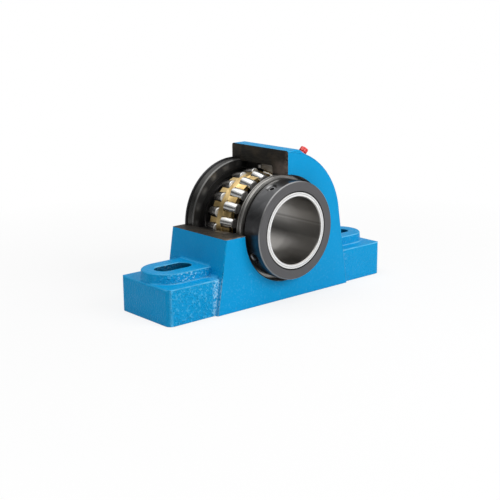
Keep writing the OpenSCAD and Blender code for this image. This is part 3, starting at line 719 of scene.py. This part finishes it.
@dataclass(frozen=True)
class RingSteel(Finish):
    """Ground bearing steel, with grinding lines round the shaft.

    Attributes:
        lines: how many lines there are in a metre.
        streak: how far the lines darken the steel.
        face_colour: the colour of flat end faces, or None where it is the same.
        face_roughness: how dull the end faces are.
        face_line: radius of a fine dark line in the end faces, or 0 for none.
        stains: how much grease and oil shows.
        oil_tint: how the oil tints the steel.
        reflection_band_strength: how dark the random painted reflection bands along the shaft get.
        painted_reflection_bands: first angle, last angle and strength of the dark painted
            reflection bands.
    """

    lines: float = 1800.0
    streak: float = 0.2
    face_colour: Optional[Colour] = None
    face_roughness: float = 0.3
    face_line: float = 0.0
    stains: float = 0.4
    oil_tint: Colour = (0.62, 0.5, 0.38)
    reflection_band_strength: float = 0.3
    painted_reflection_bands: Tuple[Tuple[float, float, float], ...] = ()

    def dress(self, tree: Surface) -> None:
        """Grinding lines, flat faces, a film of oil and painted reflection bands.

        Args:
            tree: the material's tree.
        """
        turning = tree.turning(self.lines)
        line = turning["Line"]
        end_face = tree.end_face()
        steel = tree.span(line, 0.3, 0.7)
        steel = tree.blend(steel, shade(self.colour, 1.0 - self.streak), self.colour)
        oil = [part * tint for part, tint in zip(self.colour, self.oil_tint)]
        steel = tree.blend(tree.smears(self.stains)["Patch"], steel, oil)
        # Painted reflections: darker bands along the shaft
        steel = tree.blend(self._reflection_bands(tree), steel, shade(self.colour, 0.3))
        pale = self.face_colour or self.colour
        end = tree.blend(tree.span(line, 0.25, 0.75), shade(pale, 0.9), pale)
        if self.face_line:
            off_line = tree.off(tree.about["Radius"], self.face_line)
            share = tree.span(off_line, 0.0002, 0.0006, 0.55, 0.0)
            end = tree.blend(share, end, shade(self.colour, 0.4))
        tree.set("Base Color", tree.blend(end_face, steel, end))
        wobble = tree.span(
            turning["Band"], 0.3, 0.7, self.roughness * 0.92, self.roughness * 1.1
        )
        tree.set("Roughness", tree.between(end_face, wobble, self.face_roughness))
        tree.bump(line, 0.000004)

    def _reflection_bands(self, tree: Surface) -> Socket:
        """Finds the dark bands of painted reflection, which run along the shaft.

        Args:
            tree: the material's tree.

        Returns:
            How dark the painted reflection is, from 0 to 1.
        """
        angle = tree.about["Angle"]
        along = tree.times(tree.about["Axial"], 4.0)
        spread = tree.add("ShaderNodeCombineXYZ", {0: angle, 1: along}).outputs[0]
        dull = tree.span(tree.noise(spread, 1.1, 1.0, 0.5), 0.35, 0.65, 0.0, self.reflection_band_strength)
        soft = 0.05
        for first, last, share in self.painted_reflection_bands:
            rise = tree.span(angle, first - soft, first + soft)
            fall = tree.fade(angle, last - soft, last + soft)
            dull = tree.larger(dull, tree.times(tree.smaller(rise, fall), share))
        return dull


@dataclass(frozen=True)
class SawnRingSteel(RingSteel):
    """The outer ring's steel, with its two saw-cut faces.

    Attributes:
        sawn_colour: the steel of the saw cuts.
        stain_colour: brown stains on the saw cuts.
        stroke_colour: the brighter strokes of the saw.
        rear_half_shade_colour: painted shade on the rear half of the cuts.
        groove_colour: the shadowed grease groove round the ring.
        groove: inner and outer radius of the grease groove, in metres.
        sawn_roughness: how dull the saw cuts are.
    """

    sawn_colour: Colour = (0.15, 0.14, 0.125)
    stain_colour: Colour = (0.12, 0.09, 0.065)
    stroke_colour: Colour = (0.26, 0.245, 0.22)
    rear_half_shade_colour: Colour = (0.02, 0.019, 0.018)
    groove_colour: Colour = (0.012, 0.012, 0.011)
    groove: Pair = (0.0776, 0.0798)
    sawn_roughness: float = 0.42

    def dress(self, tree: Surface) -> None:
        """Ring steel, and duller, stroked faces where it is sawn.

        Args:
            tree: the material's tree.
        """
        super().dress(tree)
        sawn = tree.sawn["Sawn"]
        stains = tree.smears(1.0)["Patch"]
        cut = tree.blend(stains, self.sawn_colour, self.stain_colour)
        strokes = tree.span(tree.sawn["Stroke"], 0.4, 0.75)
        cut = tree.blend(strokes, cut, self.stroke_colour)
        # Painted shade on the rear half of the saw cuts
        rear_half_shade = tree.span(tree.spot[1], -0.006, -0.001)
        cut = tree.blend(rear_half_shade, cut, self.rear_half_shade_colour)

        inner, outer = self.groove
        radius = tree.about["Radius"]
        groove = tree.times(
            tree.span(radius, inner, inner + 0.0002), tree.fade(radius, outer, outer + 0.00005)
        )
        ground = tree.blend(groove, tree.source("Base Color"), self.groove_colour)
        tree.set("Base Color", tree.blend(sawn, ground, cut))
        smooth = tree.source("Roughness")
        tree.set("Roughness", tree.between(sawn, smooth, self.sawn_roughness))


@dataclass(frozen=True)
class RollerSteel(Finish):
    """Superfinished rollers, with dark ends on the front row, and painted shade and highlights on
    the rear row.

    Attributes:
        end_colour: the colour of the front row's end faces.
        rear_row_shade_colour: painted shade on the rear row's barrels.
        end_metallic: how metallic the end faces look.
        end_roughness: how dull the end faces are.
    """

    end_colour: Colour = (0.17, 0.165, 0.16)
    rear_row_shade_colour: Colour = (0.2, 0.19, 0.18)
    end_metallic: float = 0.35
    end_roughness: float = 0.4

    def dress(self, tree: Surface) -> None:
        """Bright barrel, grey ends, a thin film of oil, and painted shade and highlights on the
        rear row.

        Args:
            tree: the material's tree.
        """
        end = self._end_faces(tree)
        rear_row = tree.span(tree.spot[1], -0.001, 0.001)
        oil = tree.smears(0.5)["Patch"]
        barrel = tree.blend(oil, self.colour, shade(self.colour, 0.75))
        # Painted shade on the rear row's barrels
        barrel = tree.blend(rear_row, barrel, self.rear_row_shade_colour)
        grain = tree.span(tree.noise(tree.place, 900.0, 2.0), 0.35, 0.65)
        ends = tree.blend(grain, self.end_colour, shade(self.end_colour, 1.7))
        # Painted highlight: the rear row's end faces take the bright barrel colour
        ends = tree.blend(rear_row, ends, self.colour)
        tree.set("Base Color", tree.blend(end, barrel, ends))
        tree.set("Metallic", tree.between(end, self.metallic, self.end_metallic))
        tree.set("Roughness", tree.between(end, self.roughness, self.end_roughness))
        tree.bump(tree.noise(tree.place, 1600.0, 2.0), 0.000008)

    @staticmethod
    def _end_faces(tree: Surface) -> Socket:
        """Finds the rollers' end faces, which look along the slanted roller axes.

        Args:
            tree: the material's tree.

        Returns:
            1 on the end faces.
        """
        x, y, z = tree.spot
        across, along, rising = tree.turned
        up = tree.sum(Sum.TAKE, z, SHAFT_HEIGHT)
        lifted = tree.sum(Sum.ADD, tree.times(across, x), tree.times(rising, up))
        outward = tree.sum(Sum.OVER, lifted, tree.about["Radius"])
        slant = tree.span(y, -0.001, 0.001, 1.0, -1.0)
        down_axis = tree.sum(
            Sum.ADD,
            tree.times(along, math.cos(CONTACT_ANGLE)),
            tree.times(outward, slant, math.sin(CONTACT_ANGLE)),
        )
        return tree.span(tree.size(down_axis), 0.45, 0.6)


@dataclass(frozen=True)
class MachinedBrass(Finish):
    """Machined brass with cutter marks and darker, oily patches.

    Attributes:
        oil_colour: the tint of the oily patches.
        lines: how many cutter marks there are in a metre.
    """

    oil_colour: Colour = (0.3, 0.17, 0.04)
    lines: float = 2400.0

    def dress(self, tree: Surface) -> None:
        """Cutter marks round the shaft, oily patches, and specks that dull it.

        Args:
            tree: the material's tree.
        """
        line = tree.turning(self.lines)["Line"]
        smears = tree.smears(0.7)
        brass = tree.blend(tree.span(line, 0.3, 0.7), shade(self.colour, 0.78), self.colour)
        tree.set("Base Color", tree.blend(smears["Patch"], brass, self.oil_colour))
        specks = smears["Speck"]
        tree.set("Roughness", tree.span(specks, 0.0, 1.0, self.roughness, self.roughness + 0.2))
        height = tree.sum(Sum.ADD, line, tree.noise(tree.place, 1200.0, 2.0))
        tree.bump(height, 0.00003)


@dataclass(frozen=True)
class BlackOxide(Finish):
    """Black oxide on turned steel, greyer where a face was turned last.

    Attributes:
        face_colour: the colour of the flat faces.
        edge_wear_and_highlight_colour: the colour of the worn chamfers, with a painted highlight.
        shaded_seam: radius of the painted shadow in the seam round the bore in metres, or 0 for
            none.
        shaded_seam_colour: the colour of the painted seam shadow.
        lines: how many turned lines there are in a metre.
        roller_reflection_ring: radius of the ring of painted roller reflections in metres, or 0 for
            none.
        roller_reflection_colour: the colour of the painted reflections.
        first_reflection: the angle of one painted reflection; there is one for each roller.
    """

    face_colour: Colour = (0.085, 0.085, 0.088)
    edge_wear_and_highlight_colour: Colour = (0.3, 0.3, 0.3)
    shaded_seam: float = 0.0
    shaded_seam_colour: Colour = (0.002, 0.002, 0.002)
    lines: float = 1500.0
    roller_reflection_ring: float = 0.0
    roller_reflection_colour: Colour = (0.25, 0.245, 0.235)
    first_reflection: float = 2.187

    def dress(self, tree: Surface) -> None:
        """A black rim, a charcoal face with turning lines, paler chamfers with a painted highlight,
        and where set, a painted seam shadow and painted roller reflections.

        Args:
            tree: the material's tree.
        """
        line = tree.turning(self.lines)["Line"]
        smears = tree.smears(0.6)
        level = tree.size(tree.turned[1])
        flat = tree.span(level, 0.88, 0.96)
        rim = tree.blend(smears["Patch"], self.colour, shade(self.colour, 1.8))
        face = tree.span(line, 0.25, 0.75)
        face = tree.blend(face, shade(self.face_colour, 0.8), self.face_colour)
        colour = tree.blend(flat, rim, face)
        # Painted shadow in the seam between the collar and the ring
        if self.shaded_seam:
            shaded_seam = tree.fade(tree.about["Radius"], self.shaded_seam, self.shaded_seam + 0.0003)
            colour = tree.blend(tree.times(flat, shaded_seam), colour, self.shaded_seam_colour)
        # Painted reflections of the rollers on the cover's face
        if self.roller_reflection_ring:
            colour = tree.blend(self._roller_reflections(tree), colour, self.roller_reflection_colour)
        # Worn chamfers, which also carry a painted highlight
        worn_and_highlit = tree.times(
            tree.span(level, 0.3, 0.5),
            tree.span(level, 0.95, 0.8),
            tree.span(smears["Speck"], 0.0, 0.6, 0.75, 1.0),
        )
        tree.set("Base Color", tree.blend(worn_and_highlit, colour, self.edge_wear_and_highlight_colour))
        tree.set("Roughness", tree.between(flat, self.roughness, self.roughness + 0.12))
        tree.bump(line, 0.00002)

    def _roller_reflections(self, tree: Surface) -> Socket:
        """Painted reflections of the rollers on the face behind them, one for each roller.

        Args:
            tree: the material's tree.

        Returns:
            How strong the painted reflection is, from 0 to 1.
        """
        turn = tree.sum(Sum.TAKE, tree.about["Angle"], self.first_reflection)
        wave = tree.sum(Sum.WAVE, tree.times(turn, float(ROLLERS_PER_ROW)))
        return tree.times(
            tree.span(wave, -0.3, 1.0),
            tree.fade(tree.off(tree.about["Radius"], self.roller_reflection_ring), 0.0005, 0.0055),
            tree.span(tree.turned[1], -0.9, -0.97),
            tree.span(tree.noise(tree.place, 110.0, 2.0), 0.3, 0.6, 0.25, 0.75),
        )


@dataclass(frozen=True)
class PlainMetal(Finish):
    """Small plated, pressed or sprung metal pieces.

    Attributes:
        grain: how strongly the plating's grain shows.
    """

    grain: float = 0.2

    def dress(self, tree: Surface) -> None:
        """Fine plating grain, and smears that dull it.

        Args:
            tree: the material's tree.
        """
        patches = tree.smears(0.8)["Patch"]
        fine = tree.noise(tree.place, 1400.0, 3.0)
        grain = tree.span(fine, 0.35, 0.65)
        colour = tree.blend(grain, shade(self.colour, 1.0 - self.grain), self.colour)
        colour = tree.blend(patches, colour, shade(self.colour, 0.6))
        tree.set("Base Color", colour)
        tree.set("Roughness", tree.span(patches, 0.0, 1.0, self.roughness, self.roughness + 0.15))
        tree.bump(fine, 0.00001)


@dataclass(frozen=True)
class Moulded(Finish):
    """Moulded rubber and plastic.

    Attributes:
        dust: how much pale dust lies on it.
    """

    dust: float = 0.15

    def dress(self, tree: Surface) -> None:
        """A faint moulded grain, and dust in patches.

        Args:
            tree: the material's tree.
        """
        pale = [min(1.0, part * 1.15 + 0.04) for part in self.colour]
        patches = tree.smears(self.dust)["Patch"]
        tree.set("Base Color", tree.blend(patches, self.colour, pale))
        fine = tree.noise(tree.place, 900.0, 3.0)
        roughness = tree.span(fine, 0.3, 0.7, self.roughness - 0.05, self.roughness + 0.1)
        tree.set("Roughness", roughness)
        tree.bump(fine, 0.00003)


@dataclass(frozen=True)
class Look:
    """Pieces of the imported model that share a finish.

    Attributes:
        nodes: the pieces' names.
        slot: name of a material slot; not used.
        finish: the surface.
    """

    nodes: Tuple[str, ...]
    slot: str
    finish: Finish


@dataclass
class SubAssembly:
    """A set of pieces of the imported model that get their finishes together.

    Attributes:
        effects: the shared node groups.
        looks: the finishes, in order.
        crease: the least angle of a sharp edge, in degrees.
        weld: how close two corners are to be one, in metres.
    """

    effects: Effects
    looks: Tuple[Look, ...] = ()
    crease: float = 30.0
    weld: float = 0.000002

    def smooth(self, piece: bpy.types.Object) -> None:
        """Shades a piece smooth, apart from its sharp edges.

        Args:
            piece: the piece's object.
        """
        faces = piece.data.polygons
        faces.foreach_set("use_smooth", [True] * len(faces))
        weld = piece.modifiers.new("weld", "WELD")
        weld.merge_threshold = self.weld
        split = piece.modifiers.new("creases", "EDGE_SPLIT")
        split.split_angle = math.radians(self.crease)

    def dress(self) -> None:
        """Gives every piece its finish."""
        for look in self.looks:
            material = look.finish.make(self.effects)
            for node in look.nodes:
                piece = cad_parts[node]
                self.smooth(piece)
                piece.data.materials.clear()
                piece.data.materials.append(material)
                LOG.info("%s: %s", node, look.finish.name)


@dataclass
class Casting(SubAssembly):
    """The painted housing with its saw cuts."""

    looks: Tuple[Look, ...] = (
        Look(
            ("housing",),
            "housing_paint",
            CastingPaint(
                "blue_casting_paint", (0.0, 0.305, 0.64), roughness=0.35, metallic=0.0, glint=0.1
            ),
        ),
    )


@dataclass
class RollingSet(SubAssembly):
    """Rings, cage and rollers."""

    looks: Tuple[Look, ...] = (
        Look(
            ("outer_ring",),
            "ring_steel",
            SawnRingSteel("outer_ring_steel", (0.42, 0.41, 0.39), roughness=0.2, metallic=1.0),
        ),
        Look(
            ("guide_ring",),
            "ring_steel",
            RingSteel("guide_ring_steel", (0.42, 0.41, 0.4), roughness=0.25, metallic=1.0),
        ),
        Look(
            ("inner_ring",),
            "inner_ring_steel",
            RingSteel(
                "inner_ring_steel",
                (0.44, 0.425, 0.405),
                roughness=0.3,
                metallic=1.0,
                lines=700.0,
                streak=0.03,
                face_colour=(0.84, 0.84, 0.835),
                face_roughness=0.5,
                face_line=0.0487,
                stains=0.04,
                reflection_band_strength=0.4,
                painted_reflection_bands=(
                    (0.03, 0.11, 0.8),
                    (-0.42, 0.03, 0.62),
                    (-1.6, -0.85, 0.3),
                    (0.85, 3.1, 0.55),
                ),
            ),
        ),
        Look(
            ("cage",),
            "cage_brass",
            MachinedBrass("cage_brass", (0.9, 0.66, 0.3), roughness=0.3, metallic=1.0),
        ),
        Look(
            ROLLERS,
            "roller_steel",
            RollerSteel("roller_steel", (0.53, 0.53, 0.52), roughness=0.27, metallic=1.0),
        ),
    )


@dataclass
class CollarSet(SubAssembly):
    """The locking collar and its two set screws."""

    looks: Tuple[Look, ...] = (
        Look(
            ("lock_collar",),
            "collar_black",
            BlackOxide(
                "collar_black_oxide",
                (0.072, 0.073, 0.076),
                roughness=0.28,
                metallic=0.9,
                face_colour=(0.13, 0.128, 0.132),
                shaded_seam=0.0524,
            ),
        ),
        Look(
            ("upper_set_screw", "lower_set_screw"),
            "screw_black",
            PlainMetal("screw_black_oxide", (0.17, 0.17, 0.172), roughness=0.3, metallic=0.9),
        ),
    )


@dataclass
class SealsAndCover(SubAssembly):
    """Seals, rear cover and retaining ring."""

    looks: Tuple[Look, ...] = (
        Look(
            ("front_seal_case", "rear_seal_case"),
            "seal_steel",
            PlainMetal("seal_case_steel", (0.4, 0.39, 0.37), roughness=0.3, metallic=1.0),
        ),
        Look(
            ("front_seal_lip", "rear_seal_lip"),
            "seal_rubber",
            Moulded("seal_rubber", (0.012, 0.012, 0.012), roughness=0.5, metallic=0.0),
        ),
        Look(
            ("rear_cover",),
            "cover_black",
            BlackOxide(
                "cover_black",
                (0.045, 0.044, 0.042),
                roughness=0.24,
                metallic=0.7,
                face_colour=(0.06, 0.059, 0.057),
                edge_wear_and_highlight_colour=(0.16, 0.16, 0.155),
                roller_reflection_ring=0.0752,
            ),
        ),
        Look(
            ("retaining_ring",),
            "spring_steel",
            PlainMetal("retaining_ring_steel", (0.07, 0.07, 0.075), roughness=0.35, metallic=0.9),
        ),
    )


@dataclass
class GreasePoint(SubAssembly):
    """The grease fitting, its ball and its cap."""

    looks: Tuple[Look, ...] = (
        Look(
            ("grease_fitting", "check_ball"),
            "zinc_plate",
            PlainMetal("zinc_plate", (0.6, 0.56, 0.42), roughness=0.28, metallic=1.0, grain=0.1),
        ),
        Look(
            ("grease_cap",),
            "cap_plastic",
            Moulded("red_cap_plastic", (0.72, 0.02, 0.015), roughness=0.3, metallic=0.0, dust=0.06),
        ),
    )


@dataclass(frozen=True)
class Lamp:
    """One soft box.

    Attributes:
        name: the lamp's name.
        place: where it hangs.
        size: its width and height, in metres.
        power: its power, in watts.
        colour: its colour.
    """

    name: str
    place: Place
    size: Pair
    power: float
    colour: Colour = (1.0, 1.0, 1.0)

    def hang(self, aim: Vector) -> None:
        """Makes the lamp and turns it to the object.

        Args:
            aim: the point that it faces.
        """
        data = bpy.data.lights.new(self.name, "AREA")
        data.shape = "RECTANGLE"
        data.size, data.size_y = self.size
        data.energy = self.power
        data.color = self.colour
        lamp = bpy.data.objects.new(self.name, data)
        bpy.context.scene.collection.objects.link(lamp)
        place = Vector(self.place)
        turn = (aim - place).to_track_quat("-Z", "Y").to_matrix().to_4x4()
        lamp.matrix_world = Matrix.Translation(place) @ turn


@dataclass
class Studio:
    """Camera, lamps, floor and surroundings.

    Attributes:
        yaw: how far the camera stands round from the front, in degrees.
        pitch: how far it looks down, in degrees.
        roll: how far it leans, in degrees.
        distance: from the aimed point to the camera, in metres.
        aim: the point that it looks at.
        lens: focal length, in millimetres.
        sensor: side of the square sensor, in millimetres.
        soft_boxes: the lamps.
        lit: the point that the lamps face.
        floor_half: half the floor's side, in metres.
        floor_drop: how far the floor lies under the base face, in metres.
        floor_colour: the colour of the floor.
        whitens: how far from the middle the floor starts to whiten, and is white.
        ambient: strength of the plain light from all round.
    """

    yaw: float = 41.04
    pitch: float = 14.0
    roll: float = -0.43
    distance: float = 1.39808
    aim: Place = (-0.01442, 0.0, 0.05958)
    lens: float = 73.75
    sensor: float = 36.0
    soft_boxes: Tuple[Lamp, ...] = (
        Lamp("key", (0.55, -1.6, 1.05), (1.3, 0.9), 23.0),
        Lamp("left_fill", (-1.7, -0.6, 0.8), (0.9, 1.1), 1.2, (0.95, 0.98, 1.0)),
        Lamp("overhead", (-0.3, 0.1, 1.7), (1.4, 0.8), 13.0),
    )
    lit: Place = (0.0, 0.0, 0.09)
    floor_half: float = 7.0
    floor_drop: float = 0.0002
    floor_colour: Colour = (0.9, 0.9, 0.9)
    whitens: Pair = (0.28, 0.75)
    ambient: float = 0.33

    def camera(self) -> None:
        """Sets the camera at the photograph's viewing angle."""
        yaw, pitch, roll = (math.radians(a) for a in (self.yaw, self.pitch, self.roll))
        reach = math.cos(pitch)
        back = Vector((-math.sin(yaw) * reach, -math.cos(yaw) * reach, math.sin(pitch)))
        level = Vector((math.cos(yaw), -math.sin(yaw), 0.0))
        up = back.cross(level)
        right = level * math.cos(roll) + up * math.sin(roll)
        top = up * math.cos(roll) - level * math.sin(roll)
        data = bpy.data.cameras.new("camera")
        data.lens = self.lens
        data.sensor_width = self.sensor
        data.sensor_fit = "AUTO"
        data.clip_start, data.clip_end = 0.05, 40.0
        camera = bpy.data.objects.new("camera", data)
        bpy.context.scene.collection.objects.link(camera)
        place = Vector(self.aim) + back * self.distance
        turn = Matrix((right, top, back)).transposed().to_4x4()
        camera.matrix_world = Matrix.Translation(place) @ turn
        bpy.context.scene.camera = camera

    def lamps(self) -> None:
        """Hangs the soft boxes."""
        for lamp in self.soft_boxes:
            lamp.hang(Vector(self.lit))

    def floor(self) -> None:
        """Lays a pale floor that keeps a soft shadow."""
        mesh = bpy.data.meshes.new("floor")
        shape = bmesh.new()
        bmesh.ops.create_grid(shape, x_segments=1, y_segments=1, size=self.floor_half)
        shape.to_mesh(mesh)
        shape.free()
        mesh.materials.append(self._floor_material())
        floor = bpy.data.objects.new("floor", mesh)
        bpy.context.scene.collection.objects.link(floor)
        floor.location.z = -self.floor_drop

    def _floor_material(self) -> Material:
        """Matt and pale, white to the camera far off, and clear from below.

        Returns:
            The material.
        """
        material = bpy.data.materials.new("pale_floor")
        material.use_nodes = True
        material.node_tree.nodes.clear()
        tree = Tree(material.node_tree)
        matt = tree.add("ShaderNodeBsdfDiffuse", {"Color": self.floor_colour})
        glow = tree.add("ShaderNodeEmission", {"Color": (1.0, 1.0, 1.0), "Strength": 1.0})
        path = tree.add("ShaderNodeLightPath")
        source = tree.add("ShaderNodeTexCoord")
        away = tree.add(
            "ShaderNodeVectorMath", {0: source.outputs["Object"]}, operation="LENGTH"
        ).outputs["Value"]
        seen = path.outputs["Is Camera Ray"]
        white = tree.times(seen, tree.span(away, *self.whitens, 0.8, 1.0))
        mixed = tree.add(
            "ShaderNodeMixShader", {0: white, 1: matt.outputs[0], 2: glow.outputs[0]}
        )
        clear = tree.add("ShaderNodeBsdfTransparent")
        below = tree.add("ShaderNodeNewGeometry").outputs["Backfacing"]
        # Lets light reach the base face, which stands on the floor and shows from below
        touching = tree.fade(path.outputs["Ray Length"], 0.0005, 0.001)
        gone = tree.larger(below, tree.times(touching, tree.sum(Sum.TAKE, 1.0, seen)))
        sided = tree.add(
            "ShaderNodeMixShader", {0: gone, 1: mixed.outputs[0], 2: clear.outputs[0]}
        )
        end = tree.add("ShaderNodeOutputMaterial")
        tree.put(end.inputs["Surface"], sided.outputs[0])
        return material

    def surroundings(self) -> None:
        """White behind the object, and a plain studio round it for reflections."""
        world = bpy.data.worlds.new("studio")
        bpy.context.scene.world = world
        world.use_nodes = True
        world.node_tree.nodes.clear()
        tree = Tree(world.node_tree)
        path = tree.add("ShaderNodeLightPath")
        source = tree.add("ShaderNodeTexCoord")
        x, _, z = tree.parts(source.outputs["Generated"])
        wall = tree.times(tree.span(z, 0.02, 0.3, 0.9, 0.15), tree.span(x, -0.75, 0.1, 0.3, 1.0))
        ceiling = tree.span(z, 0.4, 0.8, 0.0, 1.6)
        room = tree.sum(Sum.ADD, wall, ceiling)
        strength = tree.between(path.outputs["Is Glossy Ray"], self.ambient, room)
        strength = tree.between(path.outputs["Is Transmission Ray"], strength, 1.0)
        strength = tree.between(path.outputs["Is Camera Ray"], strength, 1.0)
        inputs = {"Color": (1.0, 1.0, 1.0), "Strength": strength}
        back = tree.add("ShaderNodeBackground", inputs)
        end = tree.add("ShaderNodeOutputWorld")
        tree.put(end.inputs["Surface"], back.outputs[0])

    def build(self) -> None:
        """Sets up the whole studio."""
        bpy.context.scene.view_settings.view_transform = "Standard"
        self.camera()
        self.lamps()
        self.floor()
        self.surroundings()


def main() -> None:
    """Builds the studio and dresses every sub-assembly."""
    Studio().build()
    effects = Effects()
    for kind in (Casting, RollingSet, CollarSet, SealsAndCover, GreasePoint):
        kind(effects).dress()
        LOG.info("%s done", kind.__name__)


if __name__ == "__main__":
    main()
